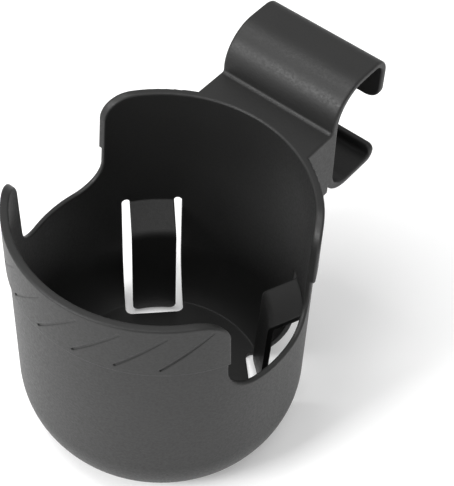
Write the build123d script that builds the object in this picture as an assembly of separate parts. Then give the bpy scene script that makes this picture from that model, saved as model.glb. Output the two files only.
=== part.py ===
from build123d import *
import os
from math import acos, asin, atan2, cos, degrees, radians, sin, sqrt, tan

# Clip-on bottle holder, moulded in one piece: a cup with two spring tongues and a rail clip.
# The cup's axis is Z, its flat base lies on z = 0, and the clip points along +Y. Millimetres.

# Cup
cup_radius = 40.0
wall = 1.5
rim_height = 81.4
floor_thickness = 1.6
base_curve = 22.8
base_cut = 4.4
base_round = 3.0
edge_round = 0.5

# Raised band under the rim, with slanting grooves
band_height = 18.3
band_proud = 0.8
band_step_round = 0.5
groove_width = 0.8
groove_depth = 0.17
groove_fade = 0.8
groove_pitch = 16.0
groove_offset = 0.8
groove_margin = 2.6
groove_lean = 45.0

# Handle notches, one each side, cut by one outline that runs along X
notch_width = 34.0
notch_offset = -0.35
notch_taper = 1.0
notch_depth = 31.9
notch_foot_radius = 9.0
notch_brow_radius = 8.0

# Spring tongues, each in a U-shaped slot that runs on into the floor
tongue_angle = 45.0
tongue_width = 12.9
tongue_thickness = 1.6
tongue_reach = 9.0
tongue_drop = 5.5
tongue_lean = 1.2
tongue_bend = 1.4
tongue_foot = 0.8
tongue_corner = 2.2
slot_gap = 2.3
slot_top = 40.1
slot_floor_gap = 3.9
slot_corner = 2.0

# Bracket box behind the cup
bracket_width = 37.2
bracket_length = 6.8
bracket_drop = 23.4
bracket_wall = 2.0
bracket_blend = 1.0

# Rail clip, a C-shaped strip, with its bends measured on the inside
clip_thickness = 2.0
clip_taper = 1.4
clip_depth = 19.2
clip_rise = 12.6
clip_height = 39.4
clip_shoulder_bend = 9.5
clip_root_bend = 7.0
clip_lip_bend = 3.5
clip_toe_bend = 1.0
lip_length = 16.0
lip_corner = 4.5
toe_height = 5.2
toe_corner = 2.0
clip_edge_round = 0.6

# Places worked out from the sizes above
inner_radius = cup_radius - wall
band_radius = cup_radius + band_proud
band_foot = rim_height - band_height
curve_centre = cup_radius - base_curve
curve_height = base_curve - base_cut
notch_foot = rim_height - notch_depth
notch_half_width = notch_width / 2
tongue_face = inner_radius - tongue_reach
tongue_root = slot_top - slot_gap / 2
slot_half_width = tongue_width / 2 + slot_gap
slot_floor_edge = tongue_face - slot_floor_gap
leg_front = cup_radius + bracket_length
leg_back = leg_front + clip_thickness
lip_inside = leg_back + clip_depth
lip_outside = lip_inside + clip_thickness
clip_top = rim_height + clip_rise
clip_foot = clip_top - clip_height
OVERLAP = 0.5
REACH = 2 * band_radius


def radius_of(point):
    """Distance of a point from the cup's axis."""
    return sqrt(point.X**2 + point.Y**2)


def runs_round(edge):
    """True for an edge that keeps its distance from the axis, false for one across the wall."""
    return abs(radius_of(edge @ 0) - radius_of(edge @ 1)) < wall / 4


def ring(outer, inner, foot, top):
    """Plain ring about the cup's axis."""
    return Pos(0, 0, foot) * extrude(Circle(outer) - Circle(inner), top - foot)


def curve_point(radius, angle):
    """Point on the rounded lower wall, with the angle measured below the horizontal."""
    return curve_centre + radius * cos(angle), curve_height - radius * sin(angle)


def notch_tool():
    """Outline of both handle notches as one bar along X, open above the rim."""
    head = rim_height + OVERLAP
    brow = rim_height - notch_brow_radius
    mouth = notch_half_width + notch_brow_radius
    shaft = make_face(
        Polyline(
            (-notch_half_width, head),
            (-notch_half_width, brow),
            (notch_taper - notch_half_width, notch_foot),
            (notch_half_width - notch_taper, notch_foot),
            (notch_half_width, brow),
            (notch_half_width, head),
            close=True,
        )
    )
    shaft = fillet(shaft.vertices().group_by(Axis.Y)[0], notch_foot_radius)
    flare = Pos(0, (brow + head) / 2) * Rectangle(2 * mouth, head - brow)
    brows = [Pos(side * mouth, brow) * Circle(notch_brow_radius) for side in (-1, 1)]
    return Pos(0, notch_offset, 0) * extrude(Plane.YZ * (shaft + (flare - brows)), REACH, both=True)


def cup_below_band():
    """Floor, rounded lower wall and plain wall up to the foot of the band."""
    outer_angle = asin(curve_height / base_curve)
    inner_curve = base_curve - wall
    inner_angle = asin((curve_height - floor_thickness) / inner_curve)
    base_corner = curve_point(base_curve, outer_angle)
    floor_corner = curve_point(inner_curve, inner_angle)
    outline = [
        Line((0, 0), base_corner),
        ThreePointArc(base_corner, curve_point(base_curve, outer_angle / 2), curve_point(base_curve, 0)),
        Polyline(
            (cup_radius, curve_height),
            (cup_radius, band_foot),
            (inner_radius, band_foot),
            (inner_radius, curve_height),
        ),
        ThreePointArc(curve_point(inner_curve, 0), curve_point(inner_curve, inner_angle / 2), floor_corner),
        Polyline(floor_corner, (0, floor_thickness), (0, 0)),
    ]
    section = make_face(outline)
    corner = section.vertices().sort_by_distance(Vector(*base_corner))[0]
    section = fillet(corner, base_round)
    cup = revolve(Plane.XZ * section, Axis.Z) - notch_tool()
    rim = cup.edges().filter_by(
        lambda edge: runs_round(edge)
        and edge.bounding_box().min.Z > notch_foot - OVERLAP
        and edge.bounding_box().min.Z < band_foot - OVERLAP
    )
    return fillet(rim, edge_round)


def band_panels():
    """Front and back panels: the raised band between the two notches."""
    panels = ring(band_radius, inner_radius, band_foot, rim_height) - notch_tool()
    step = panels.edges().filter_by(
        lambda edge: runs_round(edge)
        and edge.bounding_box().max.Z < band_foot + OVERLAP
        and radius_of(edge @ 0) > cup_radius
    )
    panels = chamfer(step, band_step_round)
    rim = panels.edges().filter_by(
        lambda edge: runs_round(edge) and edge.bounding_box().max.Z > band_foot + band_height / 4
    )
    return fillet(rim, edge_round) - band_grooves()


def band_grooves():
    """Slanting grooves that fade out upwards, evenly spaced and clear of notches and bracket."""
    core = Pos(groove_fade, 0, band_foot) * extrude(Circle(band_radius - groove_depth), band_height)
    rise = band_height - 2 * groove_margin
    lean = radians(groove_lean)
    slot = Rot(0, 0, 90 - groove_lean) * SlotOverall(rise / cos(lean), groove_width)
    middle = (band_foot + rim_height) / 2
    groove = extrude(Plane.XZ * (Pos(0, middle) * slot), REACH) - core
    half_span = degrees(rise * tan(lean) / 2 / band_radius)
    panel_span = degrees(acos((notch_half_width + abs(notch_offset)) / band_radius)) - half_span
    bracket_span = degrees(asin(bracket_width / 2 / band_radius)) + half_span
    count = int(panel_span / groove_pitch)
    angles = [i * groove_pitch + groove_offset for i in range(-count, count + 1)]
    front = [Rot(0, 0, angle) * groove for angle in angles]
    back = [Rot(0, 0, 180 + angle) * groove for angle in angles if abs(angle) > bracket_span]
    return front + back


def tongue_place(side):
    """Turns a shape made towards +X to the tongue on that side, measured from the back."""
    return Rot(0, 0, 90 - side * tongue_angle)


def slot_tool():
    """U-slot with the tongue's room taken out too: a window through wall and floor, and two leg ends."""
    window = Pos((slot_floor_edge + REACH) / 2, 0) * Rectangle(REACH - slot_floor_edge, 2 * slot_half_width)
    window = fillet(window.vertices().group_by(Axis.X)[0], slot_corner)
    tool = Pos(0, 0, -OVERLAP) * extrude(window, tongue_root + OVERLAP)
    for side in (-1, 1):
        leg = Pos(side * (slot_half_width - slot_gap / 2), tongue_root) * Circle(slot_gap / 2)
        tool += extrude(Plane.YZ * leg, REACH)
    return tool


def tongue():
    """Tongue: leaves the wall, slopes inwards, then hangs down, leaning in, to its free end."""
    lean = atan2(tongue_drop, tongue_reach)
    crest = tongue_root - tongue_drop
    back = tongue_face + tongue_thickness
    bend = crest - tongue_thickness * cos(lean) / (1 + sin(lean))
    outer_root = tongue_root + wall * tan(lean) - tongue_thickness / cos(lean)
    corners = [
        (inner_radius, tongue_root),
        (tongue_face, crest),
        (tongue_face - tongue_lean, tongue_foot),
        (back - tongue_lean, tongue_foot),
        (back, bend),
        (cup_radius, outer_root),
        (cup_radius, tongue_root + OVERLAP),
        (inner_radius, tongue_root + OVERLAP),
    ]
    section = make_face(Polyline(*corners, close=True))
    for corner, radius in ((corners[1], tongue_bend + tongue_thickness), (corners[4], tongue_bend)):
        section = fillet(section.vertices().sort_by_distance(Vector(*corner))[0], radius)
    spread = 2 * degrees(asin(tongue_width / (tongue_face - tongue_lean)))
    strip = Rot(0, 0, -spread / 2) * revolve(Plane.XZ * section, Axis.Z, spread)
    height = tongue_root + OVERLAP - tongue_foot
    blank = Pos(0, tongue_foot + height / 2) * Rectangle(tongue_width, height)
    blank = fillet(blank.vertices().group_by(Axis.Y)[0], tongue_corner)
    return strip & extrude(Plane.YZ * blank, REACH)


def rail_clip():
    """C-shaped strip: lip, top, shoulder, leg that thickens downwards, jaw and upturned toe."""
    lip_foot = clip_top - lip_length
    toe_top = clip_foot + toe_height
    outside = FilletPolyline(
        (lip_outside, lip_foot),
        (lip_outside, clip_top),
        (leg_front, clip_top),
        (leg_front, clip_foot),
        (lip_outside, clip_foot),
        (lip_outside, toe_top),
        radius=[
            clip_lip_bend + clip_thickness,
            clip_shoulder_bend + clip_thickness,
            clip_root_bend + clip_thickness + clip_taper,
            clip_toe_bend + clip_thickness,
        ],
    )
    inside = FilletPolyline(
        (lip_inside, toe_top),
        (lip_inside, clip_foot + clip_thickness),
        (leg_back + clip_taper, clip_foot + clip_thickness),
        (leg_back, clip_top - clip_thickness),
        (lip_inside, clip_top - clip_thickness),
        (lip_inside, lip_foot),
        radius=[clip_toe_bend, clip_root_bend, clip_shoulder_bend, clip_lip_bend],
    )
    ends = [Line(outside @ 1, inside @ 0), Line(inside @ 1, outside @ 0)]
    section = make_face([outside, inside, *ends])
    strip = extrude(Plane.YZ * section, bracket_width / 2, both=True)
    for height, corner in ((lip_foot, lip_corner), (toe_top, toe_corner)):
        level = strip.edges().filter_by(lambda edge: abs((edge @ 0.5).Z - height) < OVERLAP / 2)
        strip = fillet(level.filter_by(Axis.Y), corner)
    edges = strip.edges()
    bends = edges.filter_by(Axis.X).filter_by(
        lambda edge: min(abs((edge @ 0.5).Z - height) for height in (lip_foot, toe_top)) > OVERLAP / 2
    )
    through = edges.filter_by(Axis.Y).filter_by(lambda edge: edge.length < 1.5 * clip_thickness)
    return fillet(edges - bends - through, clip_edge_round)


def bracket_box():
    """Box between cup and clip: a top level with the rim and two side walls, open below."""
    half = bracket_width / 2
    foot = rim_height - bracket_drop
    depth = leg_back - clip_thickness / 2
    block = Pos(0, depth / 2, (foot + rim_height) / 2) * Box(bracket_width, depth, bracket_drop)
    block = fillet(block.edges().filter_by(Axis.Y).group_by(Axis.Z)[-1], clip_edge_round)
    pocket_height = bracket_drop - bracket_wall
    pocket = Pos(0, depth / 2, foot + pocket_height / 2) * Box(
        2 * (half - bracket_wall), 2 * depth, pocket_height
    )
    core = extrude(Circle(inner_radius + edge_round), 2 * rim_height)
    return block - pocket - core


def clip_mount():
    """Bracket box and clip as one body, with the crease between them blended."""
    body = bracket_box() + rail_clip()
    crease = body.edges().filter_by(Axis.X).sort_by_distance(Vector(0, leg_front, rim_height))[0]
    return fillet(crease, bracket_blend)


def holder():
    """The whole moulding."""
    cup = cup_below_band() + band_panels()
    for side in (-1, 1):
        cup -= tongue_place(side) * slot_tool()
        cup += tongue_place(side) * tongue()
    return cup + clip_mount()


os.makedirs("parts", exist_ok=True)
export_step(holder(), "parts/holder.step")
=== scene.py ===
from math import cos, radians, sin

import bpy
from mathutils import Matrix, Vector

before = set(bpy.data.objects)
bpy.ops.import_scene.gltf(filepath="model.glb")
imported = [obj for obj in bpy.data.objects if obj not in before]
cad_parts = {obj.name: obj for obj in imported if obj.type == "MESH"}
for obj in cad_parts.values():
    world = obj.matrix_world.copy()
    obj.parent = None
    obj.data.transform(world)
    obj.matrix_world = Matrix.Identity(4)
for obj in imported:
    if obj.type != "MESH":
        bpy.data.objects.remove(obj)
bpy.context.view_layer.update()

# Lengths are in metres and angles in degrees, with azimuths running from the front towards +X.

# Camera, in the photograph's frame of 454 x 486 pixels, with the sensor in millimetres
IMAGE_HEIGHT = 486
SENSOR = 36.0
FOCAL_PIXELS = 1488.6
CAMERA_AZIMUTH = 36.3
CAMERA_ELEVATION = 50.14
CAMERA_ROLL = 3.45
CAMERA_DISTANCE = 0.38514
SIGHT_SIDEWAYS = 0.01668
SIGHT_HEIGHT = 0.06679
NEAREST_VIEW = 0.01

# Studio floor, with a painted glow: a pad under the cup's base that glows brighter, though it is no
# lamp, and shows through the slots
FLOOR_SIZE = 6.0
FLOOR_CLEARANCE = 0.00005
FLOOR_COLOUR = (0.9, 0.9, 0.9, 1)
FLOOR_ROUGHNESS = 0.9
FLOOR_SHINE = 0.0
FLOOR_GLOW = 0.15
# Painted light: the pad's glow under the base, its radius and the width of its fading edge
PAD_PAINTED_GLOW = 0.5
PAD_RADIUS = 0.028
PAD_EDGE = 0.001

# Studio lights, all aimed at the middle of the cup
SKY_COLOUR = (1, 1, 1, 1)
SKY_STRENGTH = 0.65
CUP_MIDDLE = Vector((0, 0.01, 0.045))
LIGHT_DISTANCE = 1.0
# Name, azimuth, elevation, width, height, power in watts
LIGHTS = (
    ("key_light", -76, 72, 0.5, 0.5, 4.2),
    ("fill_light", 59, 66, 0.4, 0.4, 1.1),
    ("front_light", -20, 33, 0.3, 0.3, 8.0),
)

# Moulded charcoal plastic
PLASTIC_DARK = (0.0100, 0.0100, 0.0098, 1)
PLASTIC_LIGHT = (0.0150, 0.0150, 0.0147, 1)
PLASTIC_SHINE = 0.345
CLOUD_SIZE = 0.018
CLOUD_DETAIL = 3.0
GRAIN_SIZE = 0.0007
GRAIN_DETAIL = 2.0
GRAIN_SHARPNESS = 0.6
GRAIN_LOW = 0.3
GRAIN_HIGH = 0.7
GRAIN_HEIGHT = 0.00006
GRAIN_STRENGTH = 0.5
SATIN = 0.42
MATT = 0.54
EDGE_SOFTNESS = 0.0007
EDGE_SAMPLES = 6


def add_node(tree, kind, **inputs):
    """Adds a shader node and sets the named inputs that stay constant."""
    node = tree.nodes.new(kind)
    for name, value in inputs.items():
        node.inputs[name.replace("_", " ")].default_value = value
    return node


def charcoal_plastic():
    """Dark moulded plastic: colour clouds, satin gloss that varies, a fine grain and softened edges."""
    material = bpy.data.materials.new("charcoal_plastic")
    material.use_nodes = True
    tree = material.node_tree
    link = tree.links.new
    plastic = tree.nodes["Principled BSDF"]
    plastic.inputs["Specular IOR Level"].default_value = PLASTIC_SHINE
    place = add_node(tree, "ShaderNodeTexCoord").outputs["Object"]

    clouds = add_node(tree, "ShaderNodeTexNoise", Scale=1 / CLOUD_SIZE, Detail=CLOUD_DETAIL)
    link(place, clouds.inputs["Vector"])
    colour = add_node(tree, "ShaderNodeMix")
    colour.data_type = "RGBA"
    # The mix node has several inputs called A and B; 6 and 7 are the pair of colours, and 2 their result
    colour.inputs[6].default_value = PLASTIC_DARK
    colour.inputs[7].default_value = PLASTIC_LIGHT
    link(clouds.outputs["Fac"], colour.inputs["Factor"])
    link(colour.outputs[2], plastic.inputs["Base Color"])

    grain = add_node(
        tree, "ShaderNodeTexNoise", Scale=1 / GRAIN_SIZE, Detail=GRAIN_DETAIL, Roughness=GRAIN_SHARPNESS
    )
    link(place, grain.inputs["Vector"])
    gloss = add_node(
        tree, "ShaderNodeMapRange", From_Min=GRAIN_LOW, From_Max=GRAIN_HIGH, To_Min=SATIN, To_Max=MATT
    )
    link(grain.outputs["Fac"], gloss.inputs["Value"])
    link(gloss.outputs["Result"], plastic.inputs["Roughness"])

    edges = add_node(tree, "ShaderNodeBevel", Radius=EDGE_SOFTNESS)
    edges.samples = EDGE_SAMPLES
    bump = add_node(tree, "ShaderNodeBump", Strength=GRAIN_STRENGTH, Distance=GRAIN_HEIGHT)
    link(grain.outputs["Fac"], bump.inputs["Height"])
    link(edges.outputs["Normal"], bump.inputs["Normal"])
    link(bump.outputs["Normal"], plastic.inputs["Normal"])
    return material


def floor_paint():
    """Matt white that glows a little all over, and more on the pad, a painted glow under the base that
    shows through the slots.
    """
    material = bpy.data.materials.new("pale_floor")
    material.use_nodes = True
    tree = material.node_tree
    link = tree.links.new
    paint = tree.nodes["Principled BSDF"]
    paint.inputs["Base Color"].default_value = FLOOR_COLOUR
    paint.inputs["Roughness"].default_value = FLOOR_ROUGHNESS
    paint.inputs["Specular IOR Level"].default_value = FLOOR_SHINE
    paint.inputs["Emission Color"].default_value = FLOOR_COLOUR

    place = add_node(tree, "ShaderNodeTexCoord").outputs["Object"]
    radius = add_node(tree, "ShaderNodeVectorMath")
    radius.operation = "LENGTH"
    link(place, radius.inputs[0])
    # Painted light: the floor glows brighter inside the pad's radius under the base, fading to the even
    # floor glow across the pad's edge
    glow = add_node(
        tree,
        "ShaderNodeMapRange",
        From_Min=PAD_RADIUS - PAD_EDGE,
        From_Max=PAD_RADIUS,
        To_Min=PAD_PAINTED_GLOW,
        To_Max=FLOOR_GLOW,
    )
    link(radius.outputs["Value"], glow.inputs["Value"])
    link(glow.outputs["Result"], paint.inputs["Emission Strength"])
    return material


def pale_floor():
    """White studio floor, a hair below the base so that the two faces don't flicker."""
    bpy.ops.object.select_all(action="DESELECT")
    bpy.ops.mesh.primitive_plane_add(size=FLOOR_SIZE, location=(0, 0, -FLOOR_CLEARANCE))
    floor = bpy.context.object
    floor.name = "floor"
    floor.data.materials.append(floor_paint())


def direction(azimuth, elevation):
    """Unit vector from the cup towards a light or the camera."""
    a, e = radians(azimuth), radians(elevation)
    return Vector((sin(a) * cos(e), -cos(a) * cos(e), sin(e)))


def softbox(name, azimuth, elevation, width, height, power):
    """Rectangular studio light that faces the cup."""
    light = bpy.data.lights.new(name, "AREA")
    light.shape = "RECTANGLE"
    light.size = width
    light.size_y = height
    light.energy = power
    lamp = bpy.data.objects.new(name, light)
    bpy.context.collection.objects.link(lamp)
    towards = direction(azimuth, elevation)
    lamp.location = CUP_MIDDLE + towards * LIGHT_DISTANCE
    lamp.rotation_euler = towards.to_track_quat("Z", "Y").to_euler()


def studio():
    """Soft white sky, with softboxes high on the left and right and a lower one at the front."""
    world = bpy.data.worlds.new("studio_sky")
    world.use_nodes = True
    sky = world.node_tree.nodes["Background"]
    sky.inputs["Color"].default_value = SKY_COLOUR
    sky.inputs["Strength"].default_value = SKY_STRENGTH
    bpy.context.scene.world = world
    for light in LIGHTS:
        softbox(*light)


def photo_camera():
    """Camera at the photograph's viewing angle, rolled a little."""
    back = direction(CAMERA_AZIMUTH, CAMERA_ELEVATION)
    right = Vector((cos(radians(CAMERA_AZIMUTH)), sin(radians(CAMERA_AZIMUTH)), 0))
    up = back.cross(right)
    sight = right * SIGHT_SIDEWAYS + Vector((0, 0, SIGHT_HEIGHT))
    roll = radians(CAMERA_ROLL)
    tilted_right = right * cos(roll) + up * sin(roll)
    tilted_up = up * cos(roll) - right * sin(roll)

    lens = bpy.data.cameras.new("photo_camera")
    lens.sensor_fit = "AUTO"
    lens.sensor_width = SENSOR
    lens.lens = FOCAL_PIXELS / IMAGE_HEIGHT * SENSOR
    lens.clip_start = NEAREST_VIEW
    camera = bpy.data.objects.new("photo_camera", lens)
    bpy.context.collection.objects.link(camera)
    turn = Matrix((tilted_right, tilted_up, back)).transposed().to_4x4()
    camera.matrix_world = Matrix.Translation(sight + back * CAMERA_DISTANCE) @ turn
    bpy.context.scene.camera = camera


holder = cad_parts["holder"]
holder.data.materials.clear()
holder.data.materials.append(charcoal_plastic())
pale_floor()
studio()
photo_camera()
bpy.context.scene.view_settings.view_transform = "Standard"
